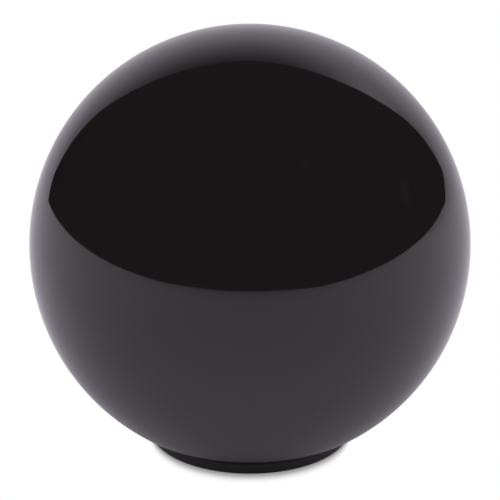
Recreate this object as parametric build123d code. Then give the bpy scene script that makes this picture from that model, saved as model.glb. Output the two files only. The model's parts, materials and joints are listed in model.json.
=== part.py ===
from build123d import *
import os
from math import cos, pi, radians, sin, sqrt, tan

# Ball knob
#
# A glossy ball of moulded thermoset plastic that stands on a short collar. A knurled brass
# insert is moulded in, flush with the seat, and tapped to take the end of a lever or spindle.
# Millimetres. The origin is the middle of the seat face, and +Z runs up the knob's axis.

# Ball and collar
BALL_DIAMETER = 35.0
COLLAR_DIAMETER = 16.0
COLLAR_WALL = 0.85  # upright wall of the collar, from the seat up to the ball
COLLAR_RIM_CHAMFER = 0.2  # broken edge round the seat face

# Tapped hole: metric coarse thread
THREAD_DIAMETER = 8.0
THREAD_PITCH = 1.25
DRILL_DEPTH = 14.5  # straight part of the tap drill's hole, from the seat
DRILL_ANGLE = 118.0  # point of the tap drill
MOUTH_LIP = 0.3  # how far the countersink opens past the thread's outside
MOUTH_ANGLE = 90.0

# Insert, outside
INSERT_WALL = 1.58  # brass between the thread's outside and the roots of the knurl
INSERT_END_WALL = 1.5  # brass left past the point of the drill
KNURL_TEETH = 30
KNURL_DEPTH = 0.42
KNURL_CREST = 0.42  # flat left along the top of each tooth
GROOVE_WIDTH = 2.5  # plastic fills this groove and keeps the insert from pulling out
GROOVE_DEPTH = 0.78  # below the roots of the knurl
SHOULDER_LENGTH = 2.0  # plain band at the seat, where the mould seals on the insert
SHOULDER_DEPTH = 0.18  # below the roots of the knurl

# Radii and heights that follow from these
ball_radius = BALL_DIAMETER / 2
collar_radius = COLLAR_DIAMETER / 2
ball_centre_z = COLLAR_WALL + sqrt(ball_radius**2 - collar_radius**2)
ball_top_z = ball_centre_z + ball_radius

thread_sharp_height = THREAD_PITCH * cos(radians(30))  # height of the thread's full triangle
bore_radius = THREAD_DIAMETER / 2 - 5 / 8 * thread_sharp_height
drill_point = bore_radius / tan(radians(DRILL_ANGLE / 2))
mouth_radius = THREAD_DIAMETER / 2 + MOUTH_LIP
mouth_depth = (mouth_radius - bore_radius) / tan(radians(MOUTH_ANGLE / 2))

knurl_root_radius = THREAD_DIAMETER / 2 + INSERT_WALL
knurl_radius = knurl_root_radius + KNURL_DEPTH
groove_radius = knurl_root_radius - GROOVE_DEPTH
shoulder_radius = knurl_root_radius - SHOULDER_DEPTH
insert_length = DRILL_DEPTH + drill_point + INSERT_END_WALL
groove_start = (SHOULDER_LENGTH + insert_length - GROOVE_WIDTH) / 2
groove_end = groove_start + GROOVE_WIDTH

STANDING = (Align.CENTER, Align.CENTER, Align.MIN)  # a turned piece that stands on its lower face


def upright(radius, start, end):
    """A plain turned cylinder between two heights on the knob's axis."""
    return Pos(0, 0, start) * Cylinder(radius, end - start, align=STANDING)


def moulded_outside():
    """Ball and collar, still solid: half of their outline, turned once round the axis."""
    collar = Polyline((0, 0), (collar_radius, 0), (collar_radius, COLLAR_WALL))
    ball = ThreePointArc((collar_radius, COLLAR_WALL), (ball_radius, ball_centre_z), (0, ball_top_z))
    axis = Line((0, ball_top_z), (0, 0))
    body = revolve(Plane.XZ * make_face(collar + ball + axis), Axis.Z)
    seat_rim = body.edges().filter_by(GeomType.CIRCLE).sort_by(Axis.Z)[0]
    return chamfer(seat_rim, COLLAR_RIM_CHAMFER)


def knurl_outline():
    """Section through the knurl: a crest flat and a V-shaped root for each tooth."""
    crest_half_angle = KNURL_CREST / 2 / knurl_radius
    tooth_angle = 2 * pi / KNURL_TEETH
    points = []
    for tooth in range(KNURL_TEETH):
        middle = tooth * tooth_angle
        for radius, angle in (
            (knurl_radius, middle - crest_half_angle),
            (knurl_radius, middle + crest_half_angle),
            (knurl_root_radius, middle + tooth_angle / 2),
        ):
            points.append((radius * cos(angle), radius * sin(angle)))
    return make_face(Polyline(points, close=True))


def turned_off(radius, start, end):
    """The ring of brass that the lathe takes off outside a radius, between two heights."""
    return upright(knurl_radius + KNURL_DEPTH, start, end) - upright(radius, start, end)


def insert_outside():
    """The insert before it is tapped: a knurled bar with a shoulder and a groove turned in it."""
    bar = extrude(knurl_outline(), insert_length)
    shoulder = turned_off(shoulder_radius, 0, SHOULDER_LENGTH)
    groove = turned_off(groove_radius, groove_start, groove_end)
    return bar - shoulder - groove


def tapped_hole():
    """What the drill and the countersink take out. The thread isn't cut: the bore has the
    thread's minor diameter."""
    bore = upright(bore_radius, 0, DRILL_DEPTH)
    point = Pos(0, 0, DRILL_DEPTH) * Cone(bore_radius, 0, drill_point, align=STANDING)
    mouth = Cone(mouth_radius, bore_radius, mouth_depth, align=STANDING)
    return bore + point + mouth


insert_blank = insert_outside()
pieces = {
    "ball": moulded_outside() - insert_blank,  # the plastic is moulded round the blank
    "threaded_insert": insert_blank - tapped_hole(),
}

os.makedirs("parts", exist_ok=True)
for name, piece in pieces.items():
    piece.label = name
    export_step(piece, f"parts/{name}.step")
    print(f"{name}: {len(piece.solids())} solid, {piece.volume:.1f} mm3")

print(f"height {ball_top_z:.3f}, ball centre {ball_centre_z:.3f}")
print(f"bore radius {bore_radius:.4f}, wall {mouth_depth:.3f} to {DRILL_DEPTH:.3f}")
print(f"insert {2 * knurl_radius:.2f} across the knurl, {insert_length:.3f} long")
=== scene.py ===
# %% [markdown]
# Ball knob in black phenolic
#
# The object is a glossy ball of black moulded plastic that stands on a short collar. A brass
# insert is moulded in, flush with the seat, and takes the thread of a lever.
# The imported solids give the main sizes. This file models both pieces again with finer edges
# and a real thread, gives them their finishes, and sets up the camera, the floor and the light.

# %% Load the frame
import json
from contextlib import contextmanager
from math import asin, atan, atan2, cos, degrees, hypot, inf, log10, pi, radians, sin, sqrt, tan

import bmesh
import bpy
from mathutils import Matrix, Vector


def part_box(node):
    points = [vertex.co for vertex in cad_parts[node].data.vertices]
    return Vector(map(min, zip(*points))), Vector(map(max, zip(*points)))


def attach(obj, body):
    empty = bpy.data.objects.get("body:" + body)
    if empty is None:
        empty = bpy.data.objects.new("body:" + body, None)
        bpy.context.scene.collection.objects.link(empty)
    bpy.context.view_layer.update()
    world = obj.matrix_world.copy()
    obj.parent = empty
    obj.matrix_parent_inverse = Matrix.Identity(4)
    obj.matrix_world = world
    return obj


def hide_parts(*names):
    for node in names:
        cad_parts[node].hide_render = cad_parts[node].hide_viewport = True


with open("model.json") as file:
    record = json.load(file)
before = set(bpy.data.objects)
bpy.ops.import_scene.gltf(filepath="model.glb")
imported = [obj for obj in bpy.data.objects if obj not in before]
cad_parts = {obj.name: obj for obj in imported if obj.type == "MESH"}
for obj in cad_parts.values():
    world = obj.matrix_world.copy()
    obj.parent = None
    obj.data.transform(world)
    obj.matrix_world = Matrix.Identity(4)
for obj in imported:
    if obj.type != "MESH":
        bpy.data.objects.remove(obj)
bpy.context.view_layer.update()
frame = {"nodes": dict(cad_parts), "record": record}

MM = 0.001  # the scene is in metres
FINE = 1e-7  # what two equal places may differ by
print("solids:", sorted(frame["nodes"]))

# %% Read the main sizes from the solids
SEAT_ROUND = 0.2 * MM  # the edge round the seat: a chamfer on the solid, a round here


def off_axis(point):
    """Distance from the knob's axis."""
    return hypot(point.x, point.y)


def reach_of(node, height=inf):
    """How far from the axis a solid's corners reach, counting those up to a height."""
    corners = [vertex.co for vertex in frame["nodes"][node].data.vertices]
    return max(off_axis(corner) for corner in corners if corner.z < height + FINE)


ball_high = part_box("ball")[1]
ball_radius = ball_high.x
ball_centre = Vector((0, 0, ball_high.z - ball_radius))
collar_radius = reach_of("ball", SEAT_ROUND)
collar_wall = ball_centre.z - sqrt(ball_radius**2 - collar_radius**2)
print(f"ball radius {ball_radius / MM:.3f} mm, centre {ball_centre.z / MM:.3f} mm above the seat")
print(f"collar radius {collar_radius / MM:.3f} mm, its wall {collar_wall / MM:.3f} mm")

# %% [markdown]
# The camera
#
# The camera is made first, because everything else is judged through it. The photo looks down
# on the ball from about 24 degrees, and from far away: the floor's far edge, mirrored in the
# ball, and the narrow strip of collar that shows under it both give that angle. A ball's
# outline fixes the lens, because its angle of view follows from the ball's radius and the
# camera's distance.

# %% Place the camera
PHOTO_SIDE = 500  # pixels
OUTLINE_RADIUS = 220.8  # of the ball's outline in the photo, pixels
OUTLINE_MIDDLE = 244.3  # height of its middle, pixels from the top edge
CAMERA_ELEVATION = radians(24.15)
CAMERA_RADII = 25  # how many ball radii the camera is away
SENSOR_WIDTH = 36  # millimetres
SIGHT = 20.0  # how far the camera sees: past the floor's far edge
camera_distance = CAMERA_RADII * ball_radius

half_view = PHOTO_SIDE / 2 / OUTLINE_RADIUS * tan(asin(ball_radius / camera_distance))
aim_below = atan((PHOTO_SIDE / 2 - OUTLINE_MIDDLE) / (PHOTO_SIDE / 2) * half_view)
back = Vector((0, -cos(CAMERA_ELEVATION), sin(CAMERA_ELEVATION)))

bpy.ops.object.camera_add(location=ball_centre + camera_distance * back)
camera = bpy.context.object
camera.rotation_euler.x = pi / 2 - CAMERA_ELEVATION - aim_below
camera.data.sensor_width = SENSOR_WIDTH
camera.data.lens = SENSOR_WIDTH / 2 / half_view
camera.data.clip_end = SIGHT
bpy.context.scene.camera = camera
print(f"camera {camera_distance / MM:.0f} mm away, lens {camera.data.lens:.0f} mm")

# %% [markdown]
# Sums on sockets
#
# A finish is made of nodes, and most of them are sums. One small class lets those sums be
# written as sums. Each operator adds the Math node that it stands for, and node() adds any
# other kind of node.

# %% A socket that can be added and multiplied
class Shade:
    """One output of a shader node."""

    def __init__(self, tree, output=None):
        self.tree = tree
        self.output = output

    def node(self, kind, settings=None, inputs=None, output=0):
        """Add a node. Its settings or ramp stops come first, then what its sockets take."""
        made = self.tree.nodes.new(kind)
        for name, value in (settings or {}).items():
            if name == "stops":
                self.set_stops(made.color_ramp.elements, value)
            else:
                setattr(made, name, value)
        for name, value in (inputs or {}).items():
            if isinstance(value, Shade):
                self.tree.links.new(value.output, made.inputs[name])
            else:
                made.inputs[name].default_value = value
        return Shade(self.tree, made.outputs[output] if made.outputs else None)

    def set_stops(self, elements, stops):
        """Give a ramp its stops: a grey level at each place."""
        while len(elements) < len(stops):
            elements.new(1)
        for element, (place, level) in zip(elements, stops):
            element.position = place
            element.color = (level, level, level, 1)

    def math(self, operation, first, second=0.0):
        return self.node("ShaderNodeMath", {"operation": operation}, {0: first, 1: second})

    def ramp(self, stops):
        """Read a grey level off a ramp at this value."""
        return self.node("ShaderNodeValToRGB", {"stops": stops}, {"Fac": self})

    def axes(self):
        """X, Y and Z of a vector."""
        split = self.node("ShaderNodeSeparateXYZ", inputs={0: self})
        return [Shade(self.tree, output) for output in split.output.node.outputs]

    def noise(self, place, size, detail=2.0):
        """Noise about 0.5, in lumps of the given size."""
        inputs = {"Vector": place, "Scale": 1 / size, "Detail": detail}
        return self.node("ShaderNodeTexNoise", inputs=inputs)

    def blend(self, amount, first, second):
        """Mix two colours."""
        inputs = {0: amount, 6: first, 7: second}
        return self.node("ShaderNodeMix", {"data_type": "RGBA"}, inputs, output=2)

    def __add__(self, other):
        return self.math("ADD", self, other)

    def __radd__(self, other):
        return self.math("ADD", other, self)

    def __sub__(self, other):
        return self.math("SUBTRACT", self, other)

    def __rsub__(self, other):
        return self.math("SUBTRACT", other, self)

    def __mul__(self, other):
        return self.math("MULTIPLY", self, other)

    def __rmul__(self, other):
        return self.math("MULTIPLY", other, self)

    def __truediv__(self, other):
        return self.math("DIVIDE", self, other)

    def __pow__(self, other):
        return self.math("POWER", self, other)


def new_material(name):
    """An empty material, and a start for its nodes."""
    material = bpy.data.materials.new(name)
    material.use_nodes = True
    material.node_tree.nodes.clear()
    return material, Shade(material.node_tree)


# %% [markdown]
# The light
#
# Black gloss shows two things: a little of its own colour, which needs even light from all
# round, and a mirror image of the room. The photo's ball mirrors a white floor, a low white
# card behind it and a dark room above. So the world lights everything evenly, and mirror rays
# see only the sheets made below.

# %% Light the scene evenly
scene = bpy.context.scene
scene.view_settings.view_transform = "Standard"
scene.world = bpy.data.worlds.new("even_light")
scene.world.use_nodes = True
sky = scene.world.node_tree.nodes["Background"].inputs
sky["Color"].default_value = (1, 1, 1, 1)
sky["Strength"].default_value = 1.0
scene.world.cycles_visibility.glossy = False
print("world:", scene.world.name)


# %% [markdown]
# Selecting in code
#
# The pieces are modelled with the same tools as by hand. By hand a face is clicked. Here it is
# found by where its corners are, so editing() opens a piece and pick() selects in it. A tool
# acts on all that is selected, so added() clears the selection before it adds a new shape.

# %% Helpers for modelling
def added(name, primitive, **sizes):
    """Add a primitive while nothing else is selected, and name it."""
    bpy.ops.object.select_all(action="DESELECT")
    primitive(**sizes)
    thing = bpy.context.object
    thing.name = name
    return thing


def only(piece):
    """Select one object and nothing else."""
    bpy.ops.object.select_all(action="DESELECT")
    piece.select_set(True)
    bpy.context.view_layer.objects.active = piece


@contextmanager
def editing(piece, kind):
    """Edit mode for one piece, with nothing selected. The kind is VERT, EDGE or FACE."""
    only(piece)
    bpy.ops.object.mode_set(mode="EDIT")
    bpy.ops.mesh.select_mode(type=kind)
    bpy.ops.mesh.select_all(action="DESELECT")
    yield
    bpy.ops.object.mode_set(mode="OBJECT")


def pick(kind, rule):
    """Select the verts, edges or faces whose corners all meet the rule, and nothing else."""
    bpy.ops.mesh.select_all(action="DESELECT")
    mesh = bpy.context.edit_object.data
    found = 0
    for element in getattr(bmesh.from_edit_mesh(mesh), kind):
        corners = [element] if kind == "verts" else element.verts
        if all(rule(corner.co) for corner in corners):
            element.select_set(True)
            found += 1
    bmesh.update_edit_mesh(mesh)
    return found


def near(value, target, tolerance=FINE):
    return abs(value - target) < tolerance


def describe(piece):
    """Print how large a piece is and whether it is closed."""
    shape = bmesh.new()
    shape.from_mesh(piece.data)
    triangles = sum(len(face.verts) - 2 for face in shape.faces)
    loose = sum(not edge.is_manifold for edge in shape.edges)
    volume = shape.calc_volume(signed=True) / MM**3
    shape.free()
    print(f"{piece.name}: {triangles} triangles, {loose} open edges, {volume:.1f} mm3")


# %% Helpers for the sheets of paper
def seen_by(thing, rays):
    """Let only some kinds of ray see a thing."""
    for kind in ("camera", "diffuse", "glossy", "transmission", "volume_scatter", "shadow"):
        setattr(thing, f"visible_{kind}", kind in rays)


def sheet(name, corners):
    """A flat sheet's outline with straight edges between its corners, not yet filled in."""
    outline = bpy.data.meshes.new(name)
    edges = [(i, (i + 1) % len(corners)) for i in range(len(corners))]
    outline.from_pydata(corners, edges, [])
    thing = bpy.data.objects.new(name, outline)
    scene.collection.objects.link(thing)
    return thing


def glowing(thing, name, tint, level):
    """Finish a sheet with light of its own. level() gives its brightness from X, Y and Z."""
    material, start = new_material(name)
    place = start.node("ShaderNodeTexCoord", output="Object")
    inputs = {0: tint, "Scale": level(*place.axes())}
    colour = start.node("ShaderNodeVectorMath", {"operation": "SCALE"}, inputs)
    glow = start.node("ShaderNodeEmission", inputs={"Color": colour})
    start.node("ShaderNodeOutputMaterial", inputs={"Surface": glow})
    thing.data.materials.append(material)


# %% [markdown]
# The floor in view
#
# The photo's floor is pure white. Only a soft shadow shows, and it lies in front of the collar:
# it looks as wide under the middle as at the sides, so the light comes from above and behind.
# A shadow like that is the seat's own circle, pushed forward. How far forward a point lies of
# that circle gives its darkness, and towards its two ends it is weaker. A thin dark line where
# the collar meets the floor comes from a node that measures how much of the sky a point sees.
# From below the floor is clear, to let the seat be seen.

# %% Make the floor that the camera sees
FLOOR_SIDE = 12.0
FLOOR_DROP = 0.01 * MM  # keeps the floor clear of the seat face
SHADOW_REACH = 1.7 * MM
SHADOW_STOPS = [  # place from the collar to the shadow's edge, level
    (0.0, 0.32), (0.19, 0.46), (0.39, 0.68), (0.6, 0.865), (0.8, 0.965), (1.0, 1.0),
]
END_FADE = 0.7  # how much weaker the shadow is at its very ends
CONTACT_REACH = 0.4 * MM
CONTACT_STOPS = [(0.5, 0.3), (0.75, 0.75), (0.95, 1.0)]  # share of open sky, level
SKY_SAMPLES = 24

white_floor = added(
    "white_floor", bpy.ops.mesh.primitive_plane_add, size=FLOOR_SIDE, location=(0, 0, -FLOOR_DROP)
)
seen_by(white_floor, ["camera"])

material, start = new_material("white_paper")
x, y, z = start.node("ShaderNodeTexCoord", output="Object").axes()
half_chord = start.math("MAXIMUM", collar_radius**2 - x * x, 0.0) ** 0.5
forward = (0.0 - y - half_chord) / SHADOW_REACH
towards_end = 1.0 - half_chord / collar_radius
strength = 1.0 - towards_end * towards_end * END_FADE
in_front = 1.0 - (1.0 - forward.ramp(SHADOW_STOPS)) * strength
beside = start.math("GREATER_THAN", x * x, collar_radius**2)
behind = start.math("LESS_THAN", forward, 0.0)
shadow = start.math("MAXIMUM", in_front, start.math("MAXIMUM", beside, behind))
reach = {"Distance": CONTACT_REACH}
open_sky = start.node("ShaderNodeAmbientOcclusion", {"samples": SKY_SAMPLES}, reach, output="AO")
light = start.math("MINIMUM", shadow, open_sky.ramp(CONTACT_STOPS))
paper = start.node("ShaderNodeEmission", inputs={"Color": light})
underside = start.node("ShaderNodeNewGeometry", output="Backfacing")
clear = start.node("ShaderNodeBsdfTransparent")
surface = start.node("ShaderNodeMixShader", inputs={0: underside, 1: paper, 2: clear})
start.node("ShaderNodeOutputMaterial", inputs={"Surface": surface})
white_floor.data.materials.append(material)
print(f"shadow {SHADOW_REACH / MM:.1f} mm wide, on", white_floor.name)

# %% [markdown]
# The floor in the mirror
#
# What the ball mirrors needs more shape than the white floor has. The dark patch on the ball
# is the room above the floor's far edge, so this floor's outline draws the patch. In front it
# runs out to the horizon. Each side is a smooth bow, which gets further away by the same
# factor for each degree that it turns to the front. Behind the card it runs on between two
# straight edges. A round opening under the seat lets light up to it from below.

# %% Cut out the floor that the ball mirrors
LEFT_BOW = dict(reach=0.413, growth=0.0113, first=45, last=-41)
RIGHT_BOW = dict(reach=0.672, growth=0.0123, first=-36, last=28)
RIGHT_FRONT = [(0.62, -0.85), (1.84, -7.2)]  # metres: the front edge's right part
LEFT_FRONT = [(-3.4, -7.1)]
BEHIND = [(-1.59, 2.42), (1.36, 2.57)]
BOW_STEPS = 24
SEAT_OPENING = 7.8 * MM
OPENING_SIDES = 96
LIT_HEIGHT = -2 * FLOOR_DROP  # just under the white floor


def bow(side, reach, growth, first, last):
    """Points on a side edge. Angles go from straight out to the side, and are more in front.

    reach is the distance straight out, and each degree multiplies it by 10**growth.
    """
    points = []
    for step in range(BOW_STEPS + 1):
        angle = first + (last - first) * step / BOW_STEPS
        distance = reach * 10 ** (growth * angle)
        points.append((side * distance * cos(radians(angle)), -distance * sin(radians(angle))))
    return points


floor_edge = LEFT_FRONT + bow(-1, **LEFT_BOW) + BEHIND + bow(1, **RIGHT_BOW) + RIGHT_FRONT
lit_floor = sheet("lit_floor", [(x, y, LIT_HEIGHT) for x, y in floor_edge])
with editing(lit_floor, "EDGE"):
    bpy.ops.mesh.primitive_circle_add(
        vertices=OPENING_SIDES, radius=SEAT_OPENING, location=(0, 0, LIT_HEIGHT)
    )
    bpy.ops.mesh.select_all(action="SELECT")
    bpy.ops.mesh.fill()
seen_by(lit_floor, ["diffuse", "glossy", "shadow"])
print(f"{lit_floor.name}: {len(floor_edge)} corners round its outside")

# %% [markdown]
# How bright it is changes with distance: dark under the ball, brightest a few centimetres out,
# and dimmer again far away. Two ramps on the logarithm of the distance hold that, one for the
# front and one for the sides, and the direction blends them. A third ramp dims it towards the
# card and behind it.

# %% Light that floor
LIGHT_TINT = (1.0, 0.92, 1.045)
FRONT_LIGHT = [  # millimetres from the axis, level
    (7.3, 0.01), (9, 0.13), (11, 0.26), (13, 0.39), (17, 0.61), (20, 0.705), (23, 0.775),
    (28, 0.815), (35, 0.805), (55, 0.76), (125, 0.73), (270, 0.67), (575, 0.58), (1000, 0.52),
    (2500, 0.45),
]
SIDE_LIGHT = [
    (7.3, 0.21), (8.2, 0.24), (9, 0.26), (10, 0.29), (13, 0.39), (17, 0.49), (23, 0.65),
    (35, 0.81), (55, 0.895), (90, 0.955), (150, 0.97), (385, 0.945), (1000, 0.83), (2500, 0.45),
]
BACK_LIGHT = [  # millimetres behind the axis, how much of the level is left
    (50, 1.0), (75, 0.93), (90, 0.86), (100, 0.80), (115, 0.76), (150, 0.63), (190, 0.52),
    (300, 0.45),
]
BACK_SPAN = 300  # what that ramp spans, in millimetres
DECADES = 3.5  # what the other two span: from 1 mm to over 3 m


def by_distance(stops):
    """Ramp stops at distances in millimetres, spread evenly by decade."""
    return [(log10(distance) / DECADES, level) for distance, level in stops]


def floor_level(x, y, z):
    distance = (x * x + y * y) ** 0.5
    decade = x.math("LOGARITHM", distance / MM, 10.0) / DECADES
    front = decade.ramp(by_distance(FRONT_LIGHT))
    side = decade.ramp(by_distance(SIDE_LIGHT))
    backwards = (y / (BACK_SPAN * MM)).ramp([(d / BACK_SPAN, level) for d, level in BACK_LIGHT])
    return (front + (side - front) * (x / distance) ** 2.0) * backwards


glowing(lit_floor, "lit_paper", LIGHT_TINT, floor_level)
levels = [level for distance, level in FRONT_LIGHT + SIDE_LIGHT]
print("floor levels:", min(levels), "to", max(levels))

# %% [markdown]
# The card behind
#
# The band of light over the dark patch is the image of a low upright card behind the ball. Its
# top corners are rounded and its right side flares out at the foot. It is brightest low down
# and on the right, up to the right top corner. Only mirror rays see it, so it stays out of the
# picture itself.

# %% Stand the card behind the ball
CARD_DISTANCE = 0.1006
TOP_LEFT = (-0.0763, 0.134)  # metres across and up
TOP_RIGHT = (0.0965, 0.1436)
CARD_EDGE = [(-0.1014, 0.0), TOP_LEFT, TOP_RIGHT, (0.0987, 0.0466), (0.1072, 0.0)]
ROUNDINGS = {TOP_LEFT: 57 * MM, TOP_RIGHT: 75 * MM}
CORNER_SEGMENTS = 16

card = sheet("back_card", [(x, CARD_DISTANCE, z) for x, z in CARD_EDGE])
with editing(card, "VERT"):
    for (across, up), rounding in ROUNDINGS.items():
        pick("verts", lambda point: near(point.x, across) and near(point.z, up))
        bpy.ops.mesh.bevel(offset=rounding, segments=CORNER_SEGMENTS, affect="VERTICES")
    bpy.ops.mesh.select_all(action="SELECT")
    bpy.ops.mesh.edge_face_add()
seen_by(card, ["glossy"])
print(f"{card.name}: {len(card.data.vertices)} corners, {card.dimensions.z / MM:.0f} mm high")

# %% Light the card from below and from the right
CARD_LEAN = 0.18  # the light climbs this much towards the right
CARD_LIGHT = [  # millimetres up, level
    (0, 0.65), (35, 0.75), (56, 0.70), (75, 0.63), (125, 0.19), (140, 0.09),
]
CARD_SPAN = 145  # what that ramp spans, in millimetres
SIDE_FADE = 0.38  # how much dimmer the sides are, this far from the middle
SIDE_REACH = 90 * MM
SIDE_MIDDLE = 5 * MM
FOOT_HEIGHT = 30 * MM  # the dimming grows up to here
CORNER_RISE = 12.5  # how fast the right top corner brightens, per metre of height
CORNER_START = 60 * MM  # the height where that begins
CORNER_ACROSS = 75 * MM


def card_level(x, y, z):
    climb = (z - x * CARD_LEAN) / (CARD_SPAN * MM)
    off_middle = (x - SIDE_MIDDLE) / SIDE_REACH
    fade = (off_middle * off_middle) ** 1.5 * x.math("MINIMUM", z / FOOT_HEIGHT, 1.0)
    rightwards = (x.math("MAXIMUM", x, 0.0) / CORNER_ACROSS) ** 4.0
    corner = x.math("MAXIMUM", z - CORNER_START, 0.0) * rightwards * CORNER_RISE
    level = climb.ramp([(height / CARD_SPAN, level) for height, level in CARD_LIGHT])
    return level * (1.0 - fade * SIDE_FADE) * (corner + 1.0)


glowing(card, "card_light", LIGHT_TINT, card_level)
print("card levels:", CARD_LIGHT[-1][1], "at the top to", CARD_LIGHT[1][1], "low down")

# %% [markdown]
# Light for the underside
#
# Nothing in the photo shows the seat, but the part is looked at from below as well. Brass is
# all mirror, so it would be black there. A disc under the floor, brighter on one side, gives it
# something to mirror through the opening.

# %% Hang a disc of light under the floor
DISC_RADIUS = 0.35
DISC_SIDES = 64
DISC_DROP = 0.12
DISC_MIDDLE = 0.55  # level in the middle
DISC_SLOPE = 1.2  # change of level per metre


def disc_level(x, y, z):
    return DISC_MIDDLE + (x - y) * DISC_SLOPE


under_light = added(
    "under_light",
    bpy.ops.mesh.primitive_circle_add,
    vertices=DISC_SIDES,
    radius=DISC_RADIUS,
    fill_type="NGON",
    location=(0, 0, -DISC_DROP),
)
seen_by(under_light, ["glossy"])
glowing(under_light, "under_glow", (1, 1, 1), disc_level)
print("disc:", under_light.name)

# %% [markdown]
# The ball
#
# The ball comes out of its mould as one piece with the collar and is then polished. A sphere is
# the start. It is cut off flat where the collar begins, because that is where the moulding
# changes shape, and the cut edge is drawn down to the seat as the collar's wall. Real edges are
# never sharp, and a mirror finish shows it, so the seat's rim gets a round, and the corner
# between ball and collar a very small one, as a polished mould leaves it.

# %% Start the ball as a sphere
BALL_SEGMENTS = 192
BALL_RINGS = 96

ball = added(
    "polished_ball",
    bpy.ops.mesh.primitive_uv_sphere_add,
    segments=BALL_SEGMENTS,
    ring_count=BALL_RINGS,
    radius=ball_radius,
    location=ball_centre,
)
bpy.ops.object.transform_apply(location=True, rotation=False, scale=False)
describe(ball)

# %% Cut the ball off flat and draw the collar down from it
COLLAR_BLEND = 0.06 * MM
RIM_SEGMENTS = 8
BLEND_SEGMENTS = 4

with editing(ball, "EDGE"):
    bpy.ops.mesh.select_all(action="SELECT")
    bpy.ops.mesh.bisect(
        plane_co=(0, 0, collar_wall), plane_no=(0, 0, 1), clear_inner=True, threshold=FINE
    )
    bpy.ops.mesh.extrude_region_move(TRANSFORM_OT_translate={"value": (0, 0, -collar_wall)})
    bpy.ops.mesh.edge_face_add()
    rim = pick("edges", lambda point: near(point.z, 0))
    bpy.ops.mesh.bevel(offset=SEAT_ROUND, segments=RIM_SEGMENTS, affect="EDGES")
    joint = pick("edges", lambda point: near(point.z, collar_wall))
    bpy.ops.mesh.bevel(offset=COLLAR_BLEND, segments=BLEND_SEGMENTS, affect="EDGES")
print(f"seat rim of {rim} edges, collar joint of {joint} edges")
describe(ball)

# %% [markdown]
# The insert
#
# A knob of brittle plastic can't hold a thread, so a brass insert is moulded into it. It is a
# turned bar with three features: a plain shoulder at the seat, where the mould closes on it, a
# knurl that keeps it from turning, and a groove in the middle that keeps it from pulling out.
# Steps in a turned bar are extrusions of one disc: up for a length, in place for a shoulder.

# %% Build the insert's blank
KNURL_TEETH = 30
TOOTH_CORNERS = 3  # two at its crest and one at the root beside it
KNURL_DEPTH = 0.42 * MM
SHOULDER_LENGTH = 2.0 * MM
GROOVE_RADIUS = 4.8 * MM
GROOVE_WIDTH = 2.5 * MM
ring_sides = TOOTH_CORNERS * KNURL_TEETH
knurl_radius = reach_of("threaded_insert")
shoulder_radius = reach_of("threaded_insert", 0)
insert_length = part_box("threaded_insert")[1].z
groove_start = (SHOULDER_LENGTH + insert_length - GROOVE_WIDTH) / 2


def selected_corner():
    """Where one corner of the selected face is."""
    shape = bmesh.from_edit_mesh(bpy.context.edit_object.data)
    return next(vertex.co.copy() for vertex in shape.verts if vertex.select)


def widen(ratio):
    """Move the selected corners away from the axis by a ratio, or towards it below 1."""
    bpy.ops.transform.resize(value=(ratio, ratio, 1), center_override=(0, 0, 0))


def raise_to(height):
    """Extrude the selected face up to a height."""
    rise = height - selected_corner().z
    bpy.ops.mesh.extrude_region_move(TRANSFORM_OT_translate={"value": (0, 0, rise)})


def step_to(radius):
    """Extrude the selected face in its own plane, and bring its edge to a radius."""
    ratio = radius / off_axis(selected_corner())
    bpy.ops.mesh.extrude_region_move()
    widen(ratio)


blank = added(
    "brass_insert",
    bpy.ops.mesh.primitive_circle_add,
    vertices=ring_sides,
    radius=shoulder_radius,
    fill_type="NGON",
)
with editing(blank, "FACE"):
    bpy.ops.mesh.select_all(action="SELECT")
    raise_to(SHOULDER_LENGTH)
    step_to(knurl_radius)
    raise_to(groove_start)
    step_to(GROOVE_RADIUS)
    raise_to(groove_start + GROOVE_WIDTH)
    step_to(knurl_radius)
    raise_to(insert_length)
describe(blank)

# %% [markdown]
# The knurl is pressed in by a wheel with teeth, which leaves a flat crest on each tooth and a
# V between two. The disc has three corners for each tooth, so moving every third corner inwards
# makes the whole knurl at once.

# %% Press the knurl into it
TURN_TOLERANCE = 1.0  # degrees
tooth_angle = 360 / KNURL_TEETH


def at_root(point):
    """Between two teeth, on the knurl's outside."""
    turn = degrees(atan2(point.y, point.x)) % tooth_angle
    between = near(turn, tooth_angle / 2, TURN_TOLERANCE)
    return between and near(off_axis(point), knurl_radius)


with editing(blank, "VERT"):
    roots = pick("verts", at_root)
    widen(1 - KNURL_DEPTH / knurl_radius)
    bpy.ops.mesh.select_all(action="SELECT")
    bpy.ops.mesh.normals_make_consistent(inside=False)
print(f"{roots} root corners")
describe(blank)


# %% [markdown]
# The cavity
#
# The plastic is moulded round the blank, so the ball has a cavity of exactly the blank's shape.
# It is cut with the blank before anything is drilled. Modelling the cavity by itself would only
# repeat all those steps.

# %% Mould the plastic round the blank
def cut_away(piece, cutter):
    """Take the cutter's shape out of a piece."""
    only(piece)
    bpy.ops.object.modifier_add(type="BOOLEAN")
    cut = piece.modifiers[-1]
    cut.operation = "DIFFERENCE"
    cut.solver = "EXACT"
    cut.object = cutter
    bpy.ops.object.modifier_apply(modifier=cut.name)


cut_away(ball, blank)
describe(ball)

# %% [markdown]
# The tapped hole
#
# A tap needs a drilled hole of the thread's inner diameter, with a countersunk mouth to start
# in. The drill leaves its cone at the bottom. Drilling is more steps on the lower face, this
# time into the bar. The outer edge of that face loses its burr to a small bevel, and that is
# the fine line between brass and plastic on the finished seat.

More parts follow.
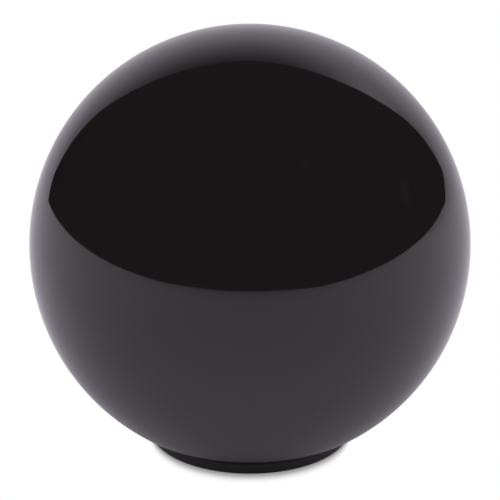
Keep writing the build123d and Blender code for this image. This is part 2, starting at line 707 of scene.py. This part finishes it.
# %% Drill and countersink the insert
THREAD_RADIUS = 4.0 * MM
MOUTH_LIP = 0.3 * MM  # the countersink is this much wider than the thread
DRILL_DEPTH = 14.5 * MM
DRILL_ANGLE = radians(118)
FACE_BEVEL = 0.07 * MM
FACE_SEGMENTS = 3
mounts = {mount["name"]: mount for mount in frame["record"]["mounts"]}
bore_radius = mounts["spindle_thread"]["dims"]["r_mm"] * MM
mouth_radius = THREAD_RADIUS + MOUTH_LIP
mouth_depth = mouth_radius - bore_radius  # at 90 degrees
drill_point = bore_radius / tan(DRILL_ANGLE / 2)

insert = blank
with editing(insert, "FACE"):
    pick("faces", lambda point: near(point.z, 0))
    step_to(mouth_radius)
    raise_to(mouth_depth)
    widen(bore_radius / mouth_radius)
    raise_to(DRILL_DEPTH)
    raise_to(DRILL_DEPTH + drill_point)
    bpy.ops.mesh.merge(type="CENTER")
    bpy.ops.mesh.select_all(action="SELECT")
    bpy.ops.mesh.normals_make_consistent(inside=False)
with editing(insert, "EDGE"):
    edge = pick("edges", lambda at: near(at.z, 0) and near(off_axis(at), shoulder_radius))
    bpy.ops.mesh.bevel(offset=FACE_BEVEL, segments=FACE_SEGMENTS, affect="EDGES")
print(f"face edge of {edge} edges")
describe(insert)

# %% [markdown]
# The thread
#
# A coarse 8 mm thread climbs 1.25 mm a turn. The tap's cutting profile is a narrow trapezium,
# and a Screw modifier carries it up the hole. What that leaves is the shape that the tap
# removes. Bump alone would look right from far off, but the hole's edge would stay round.

# %% Cut the thread
THREAD_PITCH = 1.25 * MM
THREAD_TURNS = 11
CUTTER_INSIDE = 3.1 * MM  # where the cutter ends, inside the bore
FLANK_SLOPE = tan(radians(30))
root_flat = THREAD_PITCH / 8
cutter_depth = THREAD_RADIUS - CUTTER_INSIDE
inside_width = root_flat + 2 * FLANK_SLOPE * cutter_depth
tap_start = -THREAD_PITCH / 2

tap = added(
    "tap",
    bpy.ops.mesh.primitive_plane_add,
    size=1,
    location=(CUTTER_INSIDE + cutter_depth / 2, 0, tap_start),
    rotation=(pi / 2, 0, 0),
)
tap.scale = (cutter_depth, inside_width, 1)
bpy.ops.object.transform_apply(location=True, rotation=True, scale=True)
with editing(tap, "VERT"):
    pick("verts", lambda point: near(point.x, THREAD_RADIUS))
    narrow = root_flat / inside_width
    bpy.ops.transform.resize(value=(1, 1, narrow), center_override=(0, 0, tap_start))
    bpy.ops.mesh.select_all(action="SELECT")
    bpy.ops.mesh.delete(type="ONLY_FACE")
bpy.ops.object.modifier_add(type="SCREW")
turns = tap.modifiers[-1]
turns.axis = "Z"
turns.screw_offset = THREAD_PITCH
turns.iterations = THREAD_TURNS
turns.steps = turns.render_steps = ring_sides
turns.use_merge_vertices = False
bpy.ops.object.modifier_apply(modifier=turns.name)
with editing(tap, "EDGE"):
    bpy.ops.mesh.select_all(action="SELECT")
    bpy.ops.mesh.fill_holes(sides=4)
    bpy.ops.mesh.normals_make_consistent(inside=False)
describe(tap)


def lowest_at(angle):
    """The cutter's lowest point in one direction from the axis."""
    points = [vertex.co for vertex in tap.data.vertices]
    return min(p.z for p in points if near(degrees(atan2(p.y, p.x)), angle, TURN_TOLERANCE))


THIRD_OF_TURN = 120  # degrees
climb = lowest_at(THIRD_OF_TURN) - lowest_at(0)
print(f"a third of a turn to the left climbs {climb / MM:.3f} mm, so the thread is right-handed")

# %% Take the tap's shape out of the insert
cut_away(insert, tap)
bpy.data.objects.remove(tap)
describe(insert)

# %% [markdown]
# Smooth shading
#
# Turned and moulded forms are smooth, but their edges aren't. Shading by angle keeps an edge
# over 30 degrees sharp. A flat face next to a round would then look curved, so a Weighted Normal
# modifier lets each large face keep its own direction. The ball is a mirror, and where it was
# cut its faces are uneven, so there each corner is given the direction of a true sphere.

# %% Smooth what is round and keep what is sharp
SHARP_ANGLE = radians(30)
for piece in (ball, insert):
    only(piece)
    bpy.ops.object.shade_smooth_by_angle(angle=SHARP_ANGLE)
    bpy.ops.object.modifier_add(type="WEIGHTED_NORMAL")
    weighted = piece.modifiers[-1]
    weighted.keep_sharp = True
    bpy.ops.object.modifier_apply(modifier=weighted.name)
    print(f"{piece.name}: {sum(edge.use_edge_sharp for edge in piece.data.edges)} sharp edges")

# %% Give the ball a true sphere's directions
ON_BALL = 0.01 * MM
mesh = ball.data
directions = [corner.vector.copy() for corner in mesh.corner_normals]
spherical = 0
for face in mesh.polygons:
    arms = [mesh.vertices[index].co - ball_centre for index in face.vertices]
    if all(near(arm.length, ball_radius, ON_BALL) for arm in arms):
        for loop, arm in zip(face.loop_indices, arms):
            directions[loop] = arm.normalized()
        spherical += 1
mesh.normals_split_custom_set(directions)
print(f"{spherical} faces shaded as a sphere")

# %% [markdown]
# Black phenolic
#
# The plastic is black all through, with a trace of brown from its filler. The ball is polished
# to a mirror. The polishing wheel doesn't get into the corner under it, so the collar's wall
# stays satin and a little greyer. Its colour, which the seat shares, is made lighter still as
# painted sheen, for light that the wall catches from the sides. The seat is turned flat after
# moulding, which leaves fine rings. The polish itself isn't perfect: it is a little hazy in
# places, its surface is very slightly wavy, and the photo shows three faint rub marks.

# %% Helpers for both finishes
RING_PITCH = 0.16 * MM
RING_HEIGHT = 0.006 * MM


def turned_rings(x, y):
    """The height of the fine rings that turning a face leaves."""
    radius = (x * x + y * y) ** 0.5
    return radius.math("SINE", radius * (2 * pi / RING_PITCH)) * RING_HEIGHT


def finish(piece, material, start, relief, sockets):
    """Make a material's surface from its relief and its other sockets, and put it on a piece."""
    direction = start.node("ShaderNodeBump", inputs={"Height": relief, "Distance": 1.0})
    surface = start.node("ShaderNodeBsdfPrincipled", inputs={**sockets, "Normal": direction})
    start.node("ShaderNodeOutputMaterial", inputs={"Surface": surface})
    piece.data.materials.clear()
    piece.data.materials.append(material)
    print(f"{piece.name}: {material.name}")


# %% Colour and polish the plastic
MOTTLE_SIZE = 1.1 * MM
DARKER = (0.0100, 0.0089, 0.0092, 1)
LIGHTER = (0.0112, 0.0099, 0.0103, 1)
# satin grey of the collar and seat, made lighter as painted sheen for light the wall catches
UNPOLISHED_AND_PAINTED_SHEEN = (0.0188, 0.0172, 0.0179, 1)
RUBBED = (0.0142, 0.0128, 0.0133, 1)
RUB_ROUGHNESS = 0.06
RUBS = [  # middle and reach in millimetres, turn about X in degrees, strength
    ((12.1, -9.4, 25.0), (0.6, 0.6, 1.5), -43, 1.0),
    ((9.8, -11.2, 25.7), (0.8, 0.8, 0.8), 0, 0.4),
    ((4.2, -12.0, 28.4), (0.5, 0.5, 0.5), 0, 0.6),
]
POLISH = 0.03  # roughness of the ball
HAZE = 0.025  # how much the haze adds where it is strongest
HAZE_SIZE = 12 * MM
HAZE_STOPS = [(0.4, 0.0), (0.7, 1.0)]
WALL_ROUGHNESS = 0.17
SEAT_ROUGHNESS = 0.28
WAVE_SIZE = 2.5 * MM
WAVE_HEIGHT = 0.002 * MM
PLASTIC_IOR = 1.5

material, start = new_material("moulded_phenolic")
place = start.node("ShaderNodeTexCoord", output="Object")
x, y, z = place.axes()

collar = start.math("LESS_THAN", z, collar_wall)
seat = start.math("LESS_THAN", z, FINE)
mottled = start.blend(start.noise(place, MOTTLE_SIZE), DARKER, LIGHTER)
rubbed = 0.0
for middle, reach, turn, strength in RUBS:
    inputs = {"Vector": place, "Location": Vector(middle) * MM, "Scale": Vector(reach) * MM}
    inputs["Rotation"] = (radians(turn), 0, 0)
    around = start.node("ShaderNodeMapping", {"vector_type": "TEXTURE"}, inputs)
    ball_shaped = {"gradient_type": "SPHERICAL"}
    spot = start.node("ShaderNodeTexGradient", ball_shaped, {0: around}, output="Fac")
    rubbed += spot * strength
# the collar and seat take the lighter grey: partly satin finish, partly painted sheen
colour = start.blend(collar, start.blend(rubbed, mottled, RUBBED), UNPOLISHED_AND_PAINTED_SHEEN)

haze = start.noise(place, HAZE_SIZE).ramp(HAZE_STOPS)
polish = POLISH + haze * HAZE + rubbed * RUB_ROUGHNESS
on_wall = polish + collar * (WALL_ROUGHNESS - polish)
roughness = on_wall + seat * (SEAT_ROUGHNESS - WALL_ROUGHNESS)
waves = start.noise(place, WAVE_SIZE, 0.0) * WAVE_HEIGHT
relief = waves + seat * turned_rings(x, y)
sockets = {"Base Color": colour, "Roughness": roughness, "IOR": PLASTIC_IOR}
finish(ball, material, start, relief, sockets)

# %% [markdown]
# Turned brass
#
# The insert's face is turned together with the seat, so the same rings run over it. Bare brass
# dulls first where fingers and swarf have touched it: broad patches go browner and rougher.
# The metal is darker the further it lies from the seat, so deep in the hole it is darkest.

# %% Colour and turn the brass
CLEAN_BRASS = (0.80, 0.61, 0.31, 1)
DULL_BRASS = (0.55, 0.39, 0.20, 1)
# the colour it darkens to the further it lies from the seat, deepest in the hole
DEEP_HOLE_BRASS = (0.38, 0.28, 0.15, 1)
TARNISH_SIZE = 3 * MM
TARNISH_DETAIL = 4.0
TARNISH_STOPS = [(0.42, 0.0), (0.68, 1.0)]
HOLE_DARK_DEPTH = 6 * MM  # from here on the hole is as dark as it gets
TURNED_ROUGHNESS = 0.22
TARNISH_ROUGHNESS = 0.16
SPECKLE_SIZE = 0.25 * MM
SPECKLE_ROUGHNESS = 0.08

material, start = new_material("machined_brass")
place = start.node("ShaderNodeTexCoord", output="Object")
x, y, z = place.axes()

tarnish = start.noise(place, TARNISH_SIZE, TARNISH_DETAIL).ramp(TARNISH_STOPS)
depth = start.math("MINIMUM", z / HOLE_DARK_DEPTH, 1.0)
colour = start.blend(depth, start.blend(tarnish, CLEAN_BRASS, DULL_BRASS), DEEP_HOLE_BRASS)
speckle = start.noise(place, SPECKLE_SIZE) * SPECKLE_ROUGHNESS
roughness = TURNED_ROUGHNESS + tarnish * TARNISH_ROUGHNESS + speckle
relief = turned_rings(x, y) * start.math("LESS_THAN", z, FINE)
sockets = {"Base Color": colour, "Roughness": roughness, "Metallic": 1.0}
finish(insert, material, start, relief, sockets)

# %% [markdown]
# Handing over
#
# Both pieces belong to the one rigid body. Each takes the place of the solid it was modelled
# on. The record's material slot that its finish stands for is listed with it, but not used.

# %% Hand the pieces to the frame
for piece, node, slot in (
    (ball, "ball", "black_phenolic"),
    (insert, "threaded_insert", "turned_brass"),
):
    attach(piece, "root")
    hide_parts(node)
    print(f"{piece.name} stands for {node}")
